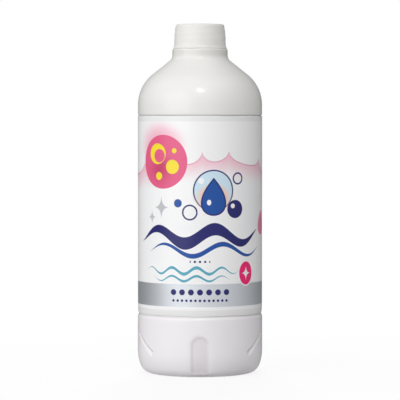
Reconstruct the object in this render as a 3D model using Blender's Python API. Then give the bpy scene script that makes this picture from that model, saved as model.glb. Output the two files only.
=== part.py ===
"""Hand soap refill bottle: blown bottle, sleeve label, screw cap with its foam wad, and the contents.

Metres, +Z up. The bottle stands on z = 0 with its axis on Z, and its front faces -Y.
"""

import math

import bmesh
import bpy
from mathutils import Vector

MM = 0.001

# Facets round every turned piece. All of them share one phase, so thin gaps stay even.
FACETS = 60

# Clearances between pieces
SEAT_GAP = 0.3 * MM
FILM_GAP = 0.3 * MM
FILM_TOP_GAP = 0.5 * MM
FILM_FOOT_GAP = 0.25 * MM
CONTENTS_GAP = 0.3 * MM
COLLAR_GAP = 0.35 * MM
BORE_GAP = 0.35 * MM
THREAD_RADIAL_GAP = 0.3 * MM
THREAD_AXIAL_GAP = 0.3 * MM

# Bottle, body
BASE_RADIUS = 32.05 * MM
SIDE_INSET = 0.15 * MM
PANEL_DEPTH = 0.48 * MM
PANEL_FOOT = 29.7 * MM
PANEL_HEIGHT = 103.0 * MM
PANEL_TOP_EDGE = 0.35 * MM
PANEL_FOOT_EDGE = 1.1 * MM
SHOULDER_BAND = 5.1 * MM
SHOULDER_ARC = 20.0 * MM
SHOULDER_SLOPE = math.radians(38.5)
WALL = 1.0 * MM

# Bottle, base
CORNER_TOP = 11.6 * MM
CORNER_UPPER_ARC = 21.0 * MM
CORNER_LEAN = math.radians(21)
FOOT_INNER_RADIUS = 21.5 * MM
PUNT_RISE = 3.0 * MM
BASE_WALL = 1.6 * MM
BASE_BAND_WALL = 2.6 * MM
BASE_BAND_TOP = 24.0 * MM

# Bottle, collar, neck and mouth
COLLAR_LEDGE = 0.47 * MM
COLLAR_HEIGHT = 5.4 * MM
COLLAR_ROUND = 0.6 * MM
COLLAR_FILLET = 3.4 * MM
COLLAR_WALL = 1.5 * MM
NECK_RADIUS = 10.85 * MM
NECK_WALL = 1.65 * MM
NECK_LIP = 1.95 * MM
RIM_BEVEL = 0.3 * MM

# Screw thread of the neck, and of the cap round it
PITCH = 3.175 * MM
THREAD_DEPTH = 1.05 * MM
THREAD_CREST = 0.9 * MM
THREAD_FOOT = 2.0 * MM
THREAD_START = 2.85 * MM
THREAD_SINK = 0.3 * MM
NECK_TURNS = 1.5
CAP_TURNS = 1.25
RUN_OUT = math.radians(24)
RUN_OUT_SHARE = 0.12

# Finger grooves in the base. Each one's upper edge slants down towards the front or the back.
GROOVE_UPPER_AZIMUTH = math.radians(75)
GROOVE_LOWER_AZIMUTH = math.radians(48)
GROOVE_UPPER_HEIGHT = 21.4 * MM
GROOVE_LOWER_HEIGHT = 12.3 * MM
GROOVE_UPPER_DEPTH = 0.4 * MM
GROOVE_LOWER_DEPTH = 1.0 * MM
GROOVE_RAMP = math.radians(18)
GROOVE_DRAFT = math.radians(5)
GROOVE_CUTTER_REACH = 1.0 * MM
GROOVE_STEPS = 6

# Arched recesses at the foot of the front and of the back
RECESS_HALF_WIDTH = 5.0 * MM
RECESS_FOOT = 1.6 * MM
RECESS_TOP = 21.2 * MM
RECESS_DEPTH = 0.6 * MM
RECESS_CUTTER_THICKNESS = 12.0 * MM

# Screw cap
CAP_WALL = 1.0 * MM
CAP_TOP_WALL = 1.2 * MM
CAP_TOP_ROUND = 0.9 * MM
CAP_TOP_TAPER = 0.35 * MM
CAP_TOP_TAPER_HEIGHT = 3.2 * MM
CAP_TAPER = 0.35 * MM
CAP_FLANGE = 0.5 * MM
CAP_FLANGE_HEIGHT = 0.9 * MM

# Foam wad in the cap
LINER_THICKNESS = 0.9 * MM
LINER_SIDE_GAP = 0.3 * MM

# Sleeve label, with a silver band round its foot
FILM_THICKNESS = 0.3 * MM
BAND_RISE = 6.3 * MM
BAND_HEIGHT = 11.5 * MM

# How far below the collar the contents' surface lies
FILL_DROP = 9.5 * MM

# Worked out from the sizes above
SIDE_RADIUS = BASE_RADIUS - SIDE_INSET
PANEL_RADIUS = SIDE_RADIUS - PANEL_DEPTH
PANEL_TOP = PANEL_FOOT + PANEL_HEIGHT
CAVITY_RADIUS = PANEL_RADIUS - WALL
CORNER_LOWER_ARC = (CORNER_TOP - CORNER_UPPER_ARC * math.sin(CORNER_LEAN)) / (1 - math.sin(CORNER_LEAN))
CAP_BORE = NECK_RADIUS + THREAD_DEPTH + BORE_GAP
CAP_CREST = NECK_RADIUS + THREAD_RADIAL_GAP
CAP_SIDE_RADIUS = CAP_BORE + CAP_WALL
CAP_UPPER_RADIUS = CAP_SIDE_RADIUS - CAP_TAPER
CAP_TOP_RADIUS = CAP_UPPER_RADIUS - CAP_TOP_TAPER
COLLAR_RADIUS = CAP_SIDE_RADIUS + CAP_FLANGE + COLLAR_LEDGE
SHOULDER_FOOT = PANEL_TOP + SHOULDER_BAND
SHOULDER_TURN = math.pi / 2 - SHOULDER_SLOPE
SHOULDER_CENTRE = SIDE_RADIUS - SHOULDER_ARC
SLOPE_RADIUS = SHOULDER_CENTRE + SHOULDER_ARC * math.cos(SHOULDER_TURN)
SLOPE_FOOT = SHOULDER_FOOT + SHOULDER_ARC * math.sin(SHOULDER_TURN)
COLLAR_FOOT = SLOPE_FOOT + (SLOPE_RADIUS - COLLAR_RADIUS) * math.tan(SHOULDER_SLOPE)
COLLAR_TOP = COLLAR_FOOT + COLLAR_HEIGHT
COLLAR_CAVITY = COLLAR_RADIUS - COLLAR_WALL
BORE_RADIUS = NECK_RADIUS - NECK_WALL
RIM = COLLAR_TOP + THREAD_START + PITCH * NECK_TURNS + NECK_LIP
CAP_FOOT = COLLAR_TOP + COLLAR_GAP
LINER_FOOT = RIM + SEAT_GAP
CAP_CEILING = LINER_FOOT + LINER_THICKNESS + SEAT_GAP
CAP_TOP = CAP_CEILING + CAP_TOP_WALL
BAND_FOOT = PANEL_FOOT + BAND_RISE
BAND_TOP = BAND_FOOT + BAND_HEIGHT
FILL_HEIGHT = COLLAR_FOOT - FILL_DROP


def clear_scene():
    for obj in list(bpy.data.objects):
        bpy.data.objects.remove(obj, do_unlink=True)


def linear(value):
    """One sRGB channel from 0 to 255 as the linear value that a shader takes."""
    share = value / 255
    return share / 12.92 if share <= 0.04045 else ((share + 0.055) / 1.055) ** 2.4


def plastic(name, red, green, blue, roughness):
    material = bpy.data.materials.new(name)
    material.use_nodes = True
    shader = material.node_tree.nodes["Principled BSDF"]
    shader.inputs["Base Color"].default_value = (linear(red), linear(green), linear(blue), 1)
    shader.inputs["Roughness"].default_value = roughness
    shader.inputs["Metallic"].default_value = 0.0
    return material


def arc(centre_r, centre_z, radius, start, end, steps):
    """Points (r, z) of an arc, from the angle start to the angle end, both counted from +r towards +z."""
    points = []
    for step in range(steps + 1):
        angle = start + (end - start) * step / steps
        points.append((centre_r + radius * math.cos(angle), centre_z + radius * math.sin(angle)))
    return points


def dome(edge_radius, edge_z, rise, steps):
    """Points of a shallow dome, from its top on the axis out to its edge."""
    radius = (edge_radius**2 + rise**2) / (2 * rise)
    half_angle = math.asin(edge_radius / radius)
    points = arc(0.0, edge_z + rise - radius, radius, math.pi / 2, math.pi / 2 - half_angle, steps)
    return [(0.0, edge_z + rise)] + points[1:]


def new_object(name, mesh, material=None, z=0.0):
    obj = bpy.data.objects.new(name, mesh)
    bpy.context.scene.collection.objects.link(obj)
    obj.location = (0, 0, z)
    if material:
        mesh.materials.append(material)
    return obj


def turned(name, outline, material=None, z=0.0, closed=False):
    """A turned piece. Its outline runs in (r, z) and goes down on the outer side.

    An open outline begins and ends on the axis. A closed one makes a ring.
    """
    mesh = bpy.data.meshes.new(name)
    points = [(r, 0.0, height - z) for r, height in outline]
    edges = [(index, index + 1) for index in range(len(points) - 1)]
    if closed:
        edges.append((len(points) - 1, 0))
    mesh.from_pydata(points, edges, [])
    obj = new_object(name, mesh, material, z)
    screw = obj.modifiers.new("Turn", "SCREW")
    screw.axis = "Z"
    screw.angle = 2 * math.pi
    screw.steps = FACETS
    screw.render_steps = FACETS
    screw.use_merge_vertices = True
    screw.merge_threshold = 0.000001
    screw.use_smooth_shade = True
    return obj


def hidden(obj):
    """Marks a cutter, or a ridge that a union adds to its carrier."""
    obj.hide_render = True
    obj.display_type = "WIRE"
    return obj


def combine(obj, other, operation):
    boolean = obj.modifiers.new(other.name, "BOOLEAN")
    boolean.operation = operation
    boolean.solver = "EXACT"
    boolean.object = other


def closed_mesh(name, points, faces):
    mesh = bpy.data.meshes.new(name)
    mesh.from_pydata(points, [], faces)
    shape = bmesh.new()
    shape.from_mesh(mesh)
    bmesh.ops.recalc_face_normals(shape, faces=shape.faces)
    shape.to_mesh(mesh)
    shape.free()
    return mesh


def bar(name, sections, z=0.0):
    """A closed bar through a list of sections, each with the same number of corners."""
    count = len(sections[0])
    points = [corner for section in sections for corner in section]
    faces = [tuple(range(count)), tuple(range(len(points) - count, len(points)))[::-1]]
    for low in range(0, len(points) - count, count):
        for index in range(count):
            after = (index + 1) % count
            faces.append((low + index, low + after, low + count + after, low + count + index))
    return hidden(new_object(name, closed_mesh(name, points, faces), z=z))


def thread_ridge(name, root_radius, crest_radius, half_root, half_crest, first_z, first_angle, turns, z=0.0):
    """A right-hand thread ridge that fades out at both ends. Its root is sunk into the wall that carries it."""
    sunk_radius = root_radius - math.copysign(THREAD_SINK, crest_radius - root_radius)
    steps = round(turns * FACETS)
    sections = []
    for step in range(steps + 1):
        turn = 2 * math.pi * step / FACETS
        left = 2 * math.pi * (steps - step) / FACETS
        fade = min(1.0, max(RUN_OUT_SHARE, min(turn, left) / RUN_OUT))
        crest = root_radius + (crest_radius - root_radius) * fade
        half_top = half_root + (half_crest - half_root) * fade
        middle = first_z + PITCH * turn / (2 * math.pi)
        outline = [(sunk_radius, -half_root), (root_radius, -half_root), (crest, -half_top)]
        outline += [(radius, -rise) for radius, rise in outline[::-1]]
        angle = first_angle + turn
        sections.append([(r * math.cos(angle), r * math.sin(angle), middle + rise) for r, rise in outline])
    return bar(name, sections, z)


def base_curve(inset):
    """The base's outside from its straight side down to the foot, moved inwards by the inset."""
    upper_centre = BASE_RADIUS - CORNER_UPPER_ARC
    lower_centre = upper_centre + (CORNER_UPPER_ARC - CORNER_LOWER_ARC) * math.cos(CORNER_LEAN)
    upper = arc(upper_centre, CORNER_TOP, CORNER_UPPER_ARC - inset, 0.0, -CORNER_LEAN, 3)
    lower = arc(lower_centre, CORNER_LOWER_ARC, CORNER_LOWER_ARC - inset, -CORNER_LEAN, -math.pi / 2, 5)
    return upper + lower[1:]


def collar_curve():
    """The collar from its top edge down its side and round the fillet onto the shoulder's slope."""
    edge_radius = COLLAR_RADIUS - COLLAR_ROUND
    rounded = arc(edge_radius, COLLAR_TOP - COLLAR_ROUND, COLLAR_ROUND, math.pi / 2, 0.0, 3)
    tangent = COLLAR_FILLET * math.tan(SHOULDER_TURN / 2)
    fillet_radius = COLLAR_RADIUS + COLLAR_FILLET
    end = math.pi + SHOULDER_TURN
    return rounded + arc(fillet_radius, COLLAR_FOOT + tangent, COLLAR_FILLET, math.pi, end, 3)


def cavity_curve(gap):
    """The bottle's inside, less the gap all round, from the middle of the floor up to the collar's cavity."""
    band_radius = BASE_RADIUS - BASE_BAND_WALL - gap
    side_radius = CAVITY_RADIUS - gap
    floor_z = BASE_WALL + gap
    corner_centre = band_radius - CORNER_LOWER_ARC
    corner = arc(corner_centre, floor_z + CORNER_LOWER_ARC, CORNER_LOWER_ARC, -math.pi / 2, 0.0, 3)
    side = [(band_radius, BASE_BAND_TOP), (side_radius, BASE_BAND_TOP + 2 * (side_radius - band_radius))]
    shoulder = arc(SHOULDER_CENTRE, SHOULDER_FOOT, side_radius - SHOULDER_CENTRE, 0.0, SHOULDER_TURN, 3)
    last_r, last_z = shoulder[-1]
    slope_top = (COLLAR_CAVITY, last_z + (last_r - COLLAR_CAVITY) * math.tan(SHOULDER_SLOPE))
    return dome(FOOT_INNER_RADIUS, floor_z, PUNT_RISE, 3) + corner + side + shoulder + [slope_top]


def bottle_outline():
    """From the middle of the floor inside, up to the mouth, and down the outside to the middle underneath."""
    ledge = COLLAR_TOP - COLLAR_WALL
    inside = cavity_curve(0.0) + [(COLLAR_CAVITY, ledge - COLLAR_WALL), (BORE_RADIUS, ledge)]
    neck = [(BORE_RADIUS, RIM), (NECK_RADIUS - RIM_BEVEL, RIM), (NECK_RADIUS, RIM - RIM_BEVEL)]
    neck += [(NECK_RADIUS, COLLAR_TOP)]
    shoulder = arc(SHOULDER_CENTRE, SHOULDER_FOOT, SHOULDER_ARC, SHOULDER_TURN, 0.0, 8)
    panel = [(SIDE_RADIUS, PANEL_TOP), (PANEL_RADIUS, PANEL_TOP - PANEL_TOP_EDGE)]
    panel += [(PANEL_RADIUS, PANEL_FOOT + PANEL_FOOT_EDGE), (BASE_RADIUS, PANEL_FOOT)]
    underside = dome(FOOT_INNER_RADIUS, 0.0, PUNT_RISE, 3)[::-1]
    return inside + neck + collar_curve() + shoulder + panel + base_curve(0.0) + underside


def between(first, last, share):
    return first + (last - first) * share


def groove_section(share, side, face):
    """Corners of a groove's cutter at a share of the groove's length, counted from its upper end.

    The wedge has its root in the wall, a steep upper wall, and a lower face that runs out to the surface.
    """
    azimuth = between(GROOVE_UPPER_AZIMUTH, GROOVE_LOWER_AZIMUTH, share)
    height = between(GROOVE_UPPER_HEIGHT, GROOVE_LOWER_HEIGHT, share)
    depth = between(GROOVE_UPPER_DEPTH, GROOVE_LOWER_DEPTH, share)
    length = BASE_RADIUS * (GROOVE_UPPER_AZIMUTH - GROOVE_LOWER_AZIMUTH)
    slant = math.atan2(GROOVE_UPPER_HEIGHT - GROOVE_LOWER_HEIGHT, length)
    outwards = Vector((side * math.sin(azimuth), -face * math.cos(azimuth), 0))
    sideways = Vector((side * math.cos(azimuth), face * math.sin(azimuth), 0))
    up = Vector((0, 0, math.cos(slant))) - sideways * math.sin(slant)
    root = outwards * (BASE_RADIUS - depth) + Vector((0, 0, height))
    reach = depth + GROOVE_CUTTER_REACH
    mouth = root + outwards * reach
    return [root, mouth + up * reach * math.tan(GROOVE_DRAFT), mouth - up * reach / math.tan(GROOVE_RAMP)]


def recess_cutter(name, core, face):
    """An arched slab less a copy of the base drawn in by the recess's depth, so its floor follows the base."""
    spring = RECESS_TOP - RECESS_HALF_WIDTH
    corners = [(-RECESS_HALF_WIDTH, RECESS_FOOT), (RECESS_HALF_WIDTH, RECESS_FOOT)]
    corners += arc(0.0, spring, RECESS_HALF_WIDTH, 0.0, math.pi, 12)
    middle = -face * BASE_RADIUS
    ends = (middle - RECESS_CUTTER_THICKNESS / 2, middle + RECESS_CUTTER_THICKNESS / 2)
    slab = bar(name, [[(x, y, z) for x, z in corners] for y in ends])
    combine(slab, core, "DIFFERENCE")
    return slab


def cut_base(bottle):
    """Cuts the recess and both grooves into the front and into the back."""
    core_outline = [(0.0, PANEL_FOOT), (BASE_RADIUS - RECESS_DEPTH, PANEL_FOOT)]
    core_outline += base_curve(RECESS_DEPTH) + [(0.0, RECESS_DEPTH)]
    core = hidden(turned("recess_core", core_outline))
    for face_name, face in (("front", 1), ("back", -1)):
        combine(bottle, recess_cutter(face_name + "_recess", core, face), "DIFFERENCE")
        for side_name, side in (("left", -1), ("right", 1)):
            sections = [groove_section(step / GROOVE_STEPS, side, face) for step in range(GROOVE_STEPS + 1)]
            combine(bottle, bar(face_name + "_" + side_name + "_groove", sections), "DIFFERENCE")


def neck_half_width(radius):
    """Half the width of the neck's thread ridge at a radius between its root and its crest."""
    share = (radius - NECK_RADIUS) / THREAD_DEPTH
    return (THREAD_FOOT + (THREAD_CREST - THREAD_FOOT) * share) / 2


def make_bottle():
    bottle = turned("bottle", bottle_outline(), plastic("white_polyethylene", 240, 240, 241, 0.35))
    crest = NECK_RADIUS + THREAD_DEPTH
    first_z = COLLAR_TOP + THREAD_START
    half_root = neck_half_width(NECK_RADIUS)
    half_crest = neck_half_width(crest)
    ridge = thread_ridge("neck_thread", NECK_RADIUS, crest, half_root, half_crest, first_z, 0.0, NECK_TURNS)
    combine(bottle, ridge, "UNION")
    cut_base(bottle)


def make_cap():
    """The cap. Its ridge lies half a pitch below the neck's, so each turns in the other's groove."""
    flange_top = CAP_FOOT + CAP_FLANGE_HEIGHT
    outline = [(0.0, CAP_TOP)]
    outline += arc(CAP_TOP_RADIUS - CAP_TOP_ROUND, CAP_TOP - CAP_TOP_ROUND, CAP_TOP_ROUND, math.pi / 2, 0.0, 4)
    outline += [(CAP_UPPER_RADIUS, CAP_TOP - CAP_TOP_TAPER_HEIGHT)]
    outline += [(CAP_SIDE_RADIUS, flange_top + CAP_FLANGE), (CAP_SIDE_RADIUS + CAP_FLANGE, flange_top)]
    outline += [(CAP_SIDE_RADIUS + CAP_FLANGE, CAP_FOOT), (CAP_BORE, CAP_FOOT)]
    outline += [(CAP_BORE, CAP_CEILING), (0.0, CAP_CEILING)]
    cap = turned("screw_cap", outline, plastic("white_polypropylene", 226, 225, 221, 0.32), CAP_FOOT)
    room = PITCH / 2 - THREAD_AXIAL_GAP
    half_root = room - neck_half_width(NECK_RADIUS + THREAD_DEPTH)
    half_crest = room - neck_half_width(CAP_CREST)
    lag = NECK_TURNS - CAP_TURNS
    first_z = COLLAR_TOP + THREAD_START + PITCH * (lag - 0.5) - CAP_FOOT
    first_angle = 2 * math.pi * lag
    ridge = thread_ridge(
        "cap_thread", CAP_BORE, CAP_CREST, half_root, half_crest, first_z, first_angle, CAP_TURNS, CAP_FOOT
    )
    combine(cap, ridge, "UNION")


def make_liner():
    radius = CAP_BORE - LINER_SIDE_GAP
    top = LINER_FOOT + LINER_THICKNESS
    outline = [(0.0, top), (radius, top), (radius, LINER_FOOT), (0.0, LINER_FOOT)]
    turned("cap_liner", outline, plastic("foam_wad", 235, 235, 232, 0.8), LINER_FOOT)


def make_label():
    inner = PANEL_RADIUS + FILM_GAP
    outer = inner + FILM_THICKNESS
    foot = PANEL_FOOT + PANEL_FOOT_EDGE + FILM_FOOT_GAP
    top = PANEL_TOP - FILM_TOP_GAP
    outline = [(outer, top), (outer, BAND_TOP), (outer, BAND_FOOT), (outer, foot), (inner, foot), (inner, top)]
    turned("label", outline, plastic("printed_film", 242, 242, 242, 0.3), foot, closed=True)


def make_contents():
    """The liquid, which fills the cavity up to its level surface in the shoulder."""
    outline = cavity_curve(CONTENTS_GAP)
    below = [point for point in outline if point[1] < FILL_HEIGHT]
    low_r, low_z = below[-1]
    high_r, high_z = outline[len(below)]
    surface_r = low_r + (high_r - low_r) * (FILL_HEIGHT - low_z) / (high_z - low_z)
    outline = below + [(surface_r, FILL_HEIGHT), (0.0, FILL_HEIGHT)]
    turned("soap_liquid", outline[::-1], plastic("pink_soap", 240, 170, 190, 0.15))


def main():
    clear_scene()
    make_bottle()
    make_cap()
    make_liner()
    make_label()
    make_contents()


main()
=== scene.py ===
"""The looks of the hand soap refill bottle: its skin, its screw cap, its printed sleeve, and a plain studio.

Shapes are worked out in millimetres, +Z up, with the bottle's axis on Z and its front towards -Y.
"""

from math import asin, cos, degrees, hypot, pi, radians, sin, tan

import bpy
import numpy as np
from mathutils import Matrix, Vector


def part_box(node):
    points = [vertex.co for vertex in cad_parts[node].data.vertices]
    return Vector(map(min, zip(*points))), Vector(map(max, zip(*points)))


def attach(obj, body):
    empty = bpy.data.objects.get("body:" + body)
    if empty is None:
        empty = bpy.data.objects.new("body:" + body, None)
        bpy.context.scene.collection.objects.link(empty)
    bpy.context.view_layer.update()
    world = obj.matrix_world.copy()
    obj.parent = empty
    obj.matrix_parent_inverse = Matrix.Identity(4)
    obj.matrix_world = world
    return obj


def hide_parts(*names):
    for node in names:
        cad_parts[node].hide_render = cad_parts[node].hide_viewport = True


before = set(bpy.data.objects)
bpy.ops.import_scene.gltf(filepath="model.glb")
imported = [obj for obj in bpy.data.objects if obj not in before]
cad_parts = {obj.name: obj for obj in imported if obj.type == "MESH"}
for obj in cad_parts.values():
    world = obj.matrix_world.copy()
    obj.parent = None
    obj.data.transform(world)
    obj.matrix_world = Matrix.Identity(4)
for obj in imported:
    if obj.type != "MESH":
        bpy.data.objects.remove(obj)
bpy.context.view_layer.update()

MM = 0.001

# Bottle, body
BASE_RADIUS = 32.05
SIDE_RADIUS = 31.9
PANEL_RADIUS = 31.42
PANEL_FOOT = 29.7
PANEL_TOP = 132.7
PANEL_TOP_EDGE = 0.35
PANEL_TOP_ROUND = 0.2
SHOULDER_FOOT = 137.8
SHOULDER_ARC = 20.0
SHOULDER_SLOPE = 38.5
WALL = 1.0

# Bottle, base
LEDGE_TOP = 30.6
LEDGE_ROUND = 1.5
LEDGE_LEAN = 50.0
CORNER_TOP = 11.6
CORNER_UPPER_ARC = 21.0
CORNER_LEAN = 21.0
FOOT_INNER_RADIUS = 21.5
FOOT_INNER_ROUND = 1.2
PUNT_INSET = 0.4
PUNT_RISE = 3.0
BASE_WALL = 1.6
BASE_BAND_WALL = 2.6
BASE_BAND_TOP = 24.0
BASE_BAND_SLOPE = 2.0

# Bottle, collar, neck and mouth
COLLAR_RADIUS = 14.22
COLLAR_HEIGHT = 5.4
COLLAR_ROUND = 0.75
COLLAR_FILLET = 3.4
COLLAR_WALL = 1.5
COLLAR_BRIM_DROP = 0.35
NECK_RADIUS = 10.85
NECK_HEIGHT = 9.5625
NECK_FOOT_ROUND = 0.3
BORE_RADIUS = 9.2
RIM_ROUND = 0.35

# Screw thread
PITCH = 3.175
THREAD_DEPTH = 1.05
THREAD_CREST = 0.9
THREAD_FOOT = 2.0
THREAD_START = 2.85
THREAD_RADIAL_GAP = 0.3
THREAD_AXIAL_GAP = 0.3
NECK_TURNS = 1.5
CAP_TURNS = 1.25
RUN_OUT = radians(24)

# Finger grooves: each end's degrees round from the front, its height and its depth
GROOVE_UPPER = (75.0, 21.6, 0.8)
GROOVE_LOWER = (48.0, 12.4, 1.85)
GROOVE_RAMP = 33.0
GROOVE_WALL_STEEPNESS = 3.0
GROOVE_EDGE_ROUND = 0.12
GROOVE_ZONE = 3.0

# Arched recesses
RECESS_HALF_WIDTH = 6.2
RECESS_FOOT = 1.6
RECESS_TOP = 22.4
RECESS_DEPTH = 0.6
RECESS_WALL = 2.6
RECESS_FADE = 1.2

# Screw cap
CAP_TOP_WALL = 1.2
CAP_TOP_RADIUS = 12.55
CAP_TOP_ROUND = 1.3
CAP_SIDE_RADIUS = 13.25
CAP_FLANGE = 0.5
CAP_FLANGE_HEIGHT = 0.45
CAP_FLARE = 1.2
CAP_FLANGE_ROUND = 0.12
CAP_FOOT_GAP = 0.06
CAP_WALL = 1.0
CAP_BOW = 2.4
CAP_HEADROOM = 0.5
CAP_SINK = 0.08
CAP_SINK_START = 1.6
CAP_SINK_FADE = 1.5
CAP_SINK_INSET = 0.1
TOUCH = 0.01

# Sleeve
FILM_INNER_RADIUS = 31.72
FILM_THICKNESS = 0.3
FILM_FOOT = 31.05
FILM_TOP = 132.2
FOOT_TUCK = 0.22
FOOT_TUCK_INSIDE = 0.18
FOOT_TUCK_HEIGHT = 3.2
FILM_CURL = 0.6 * FILM_THICKNESS
FILM_RIPPLE = 0.02
FILM_DRAWN_IN = 0.03
FILM_SIDE = 0.05
FILM_END = 3.0
FILM_END_WAVE = 0.12
SEAM_RISE = 0.05
SEAM_WIDTH = 3.0

# Points round the axis: how many, and the width and weight of the places where they crowd
BOTTLE_COLUMNS = 400
CAP_COLUMNS = 300
FILM_COLUMNS = 360
FLOOR_COLUMNS = 96
FINE_ANGLES = 7201
GROOVE_CROWD = (radians(16), 1.6)
RECESS_CROWD = (radians(10), 1.0)

# Points along the cap's side, the height below which the base's rows are close, and the sharpest smooth edge
CAP_SIDE_ROWS = 36
CLOSE_ROWS_TOP = 23.5
SHARP_ANGLE = radians(50)

# Photograph
CAMERA_DISTANCE = 1230.0
EYE_HEIGHT = 132.0
AIM_HEIGHT = 88.8
PIXELS_PER_MM = 1.941
IMAGE_SIZE = 400
SENSOR_WIDTH = 36.0
CLIP_END = 20.0

# Worked out
LEAN_SINE = sin(radians(CORNER_LEAN))
CORNER_LOWER_ARC = (CORNER_TOP - CORNER_UPPER_ARC * LEAN_SINE) / (1 - LEAN_SINE)
SHOULDER_TURN = 90 - SHOULDER_SLOPE
SHOULDER_CENTRE = SIDE_RADIUS - SHOULDER_ARC
SLOPE_RADIUS = SHOULDER_CENTRE + SHOULDER_ARC * cos(radians(SHOULDER_TURN))
SLOPE_FOOT = SHOULDER_FOOT + SHOULDER_ARC * sin(radians(SHOULDER_TURN))
COLLAR_FOOT = SLOPE_FOOT + (SLOPE_RADIUS - COLLAR_RADIUS) * tan(radians(SHOULDER_SLOPE))
COLLAR_TOP = COLLAR_FOOT + COLLAR_HEIGHT
RIM = COLLAR_TOP + NECK_HEIGHT
CAP_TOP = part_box("screw_cap")[1].z / MM
CAP_CEILING = CAP_TOP - CAP_TOP_WALL
COLLAR_BRIM = COLLAR_TOP - COLLAR_BRIM_DROP
SKIRT_FOOT = COLLAR_BRIM + CAP_FOOT_GAP
FILM_RADIUS = FILM_INNER_RADIUS + FILM_THICKNESS
QUARTER_ROUND = pi / 2 * FILM_RADIUS
FRONT = -pi / 2


# Turned surfaces


def line(start, end, steps):
    """Straight: point = start + (end - start) t, with t from 0 to 1, the last point left out."""
    t = np.arange(steps)[:, None] / steps
    return np.array(start, float) + (np.array(end, float) - np.array(start, float)) * t


def arc(centre, radius, start, end, steps):
    """Round: point = centre + radius (cos a, sin a), a from start to end in degrees, the last left out."""
    a = np.radians(start + (end - start) * np.arange(steps) / steps)
    return np.array(centre, float) + radius * np.stack([np.cos(a), np.sin(a)], 1)


def dome(edge_radius, edge_z, rise, steps):
    """Shallow dome from the axis to its edge: an arc of radius (edge^2 + rise^2) / 2 rise."""
    radius = (edge_radius**2 + rise**2) / (2 * rise)
    half = degrees(asin(edge_radius / radius))
    return arc((0, edge_z + rise - radius), radius, 90, 90 - half, steps)


def outward_normals(profile):
    """The profile's normal (dz, -dr) / length from its neighbours on both sides, turned outwards."""
    step = np.gradient(profile, axis=0)
    step /= np.linalg.norm(step, axis=1, keepdims=True)
    return np.stack([-step[:, 1], step[:, 0]], 1)


def even_angles(count):
    """Angles round the axis at equal steps."""
    return np.arange(count) * 2 * pi / count


def crowded_angles(count, places):
    """Angles round the axis, closer together round some places, each given with its width and weight.

    Density = 1 + sum of weight exp(-((a - place) / width)^2), and the angles are where its running
    total passes equal shares.
    """
    fine = np.linspace(0, 2 * pi, FINE_ANGLES)
    density = np.ones_like(fine)
    for place, width, weight in places:
        apart = (fine - place + pi) % (2 * pi) - pi
        density += weight * np.exp(-((apart / width) ** 2))
    total = np.concatenate([[0], np.cumsum((density[1:] + density[:-1]) / 2)])
    return np.interp(np.arange(count) / count * total[-1], total, fine)


def turned_mesh(name, profile, angles, inward):
    """A closed turned surface: (r cos a, r sin a, z) over the profile's points and the angles.

    The profile begins and ends on the axis. inward(a, r, z) is how far each point is pushed in along
    the profile's normal.
    """
    inner = profile[1:-1]
    r, z = inner[:, 0][:, None], inner[:, 1][:, None]
    a = angles[None, :]
    normal = outward_normals(profile)[1:-1]
    push = inward(a, r, z)
    r, z = r - push * normal[:, :1], z - push * normal[:, 1:]
    rows, columns = len(inner), len(angles)
    grid = np.stack(np.broadcast_arrays(r * np.cos(a), r * np.sin(a), z), -1).reshape(-1, 3)
    points = np.vstack([grid, [[0, 0, profile[0, 1]], [0, 0, profile[-1, 1]]]])
    index = np.arange(rows * columns).reshape(rows, columns)
    after = np.roll(index, -1, axis=1)
    quads = np.stack([index[:-1], index[1:], after[1:], after[:-1]], -1).reshape(-1, 4)
    first, last = rows * columns, rows * columns + 1
    caps_first = np.stack([np.full(columns, first), index[0], after[0]], -1)
    caps_last = np.stack([np.full(columns, last), after[-1], index[-1]], -1)
    return mesh_object(name, points, quads, np.vstack([caps_first, caps_last]))


def ring_mesh(name, profile, angles, shift):
    """A closed ring: the profile is a closed outline in (r, z), turned round the axis.

    shift(a, r, z) gives what is added to r and to z.
    """
    r, z = profile[:, 0][:, None], profile[:, 1][:, None]
    a = angles[None, :]
    dr, dz = shift(a, r, z)
    r, z = r + dr, z + dz
    points = np.stack(np.broadcast_arrays(r * np.cos(a), r * np.sin(a), z), -1).reshape(-1, 3)
    index = np.arange(len(points)).reshape(len(profile), len(angles))
    below = np.roll(index, -1, axis=0)
    quads = np.stack([index, below, np.roll(below, -1, axis=1), np.roll(index, -1, axis=1)], -1)
    return mesh_object(name, points, quads.reshape(-1, 4), np.zeros((0, 3), int))


def new_object(name, data):
    """A new object in the scene."""
    obj = bpy.data.objects.new(name, data)
    bpy.context.scene.collection.objects.link(obj)
    return obj


def mesh_object(name, points, quads, triangles):
    """Puts whole arrays of points and faces into a mesh, in metres, with faces pointing outwards."""
    mesh = bpy.data.meshes.new(name)
    mesh.vertices.add(len(points))
    mesh.vertices.foreach_set("co", (points * MM).astype(np.float32).ravel())
    loops = np.concatenate([quads.ravel(), triangles.ravel()]).astype(np.int32)
    sizes = np.concatenate([np.full(len(quads), 4), np.full(len(triangles), 3)])
    starts = np.concatenate([[0], np.cumsum(sizes)[:-1]]).astype(np.int32)
    mesh.loops.add(len(loops))
    mesh.loops.foreach_set("vertex_index", loops)
    mesh.polygons.add(len(sizes))
    mesh.polygons.foreach_set("loop_start", starts)
    mesh.update(calc_edges=True)
    mesh.validate()
    mesh.shade_smooth()
    mesh.set_sharp_from_angle(angle=SHARP_ANGLE)
    return new_object(name, mesh)


def smooth_step(t):
    """0 below 0, 1 above 1, and 3 t^2 - 2 t^3 between."""
    t = np.clip(t, 0, 1)
    return t * t * (3 - 2 * t)


def soft_min(a, b, width):
    """The smaller of two, rounded over the width: (a + b - sqrt((a - b)^2 + width^2)) / 2."""
    return (a + b - np.sqrt((a - b) ** 2 + width**2)) / 2


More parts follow.
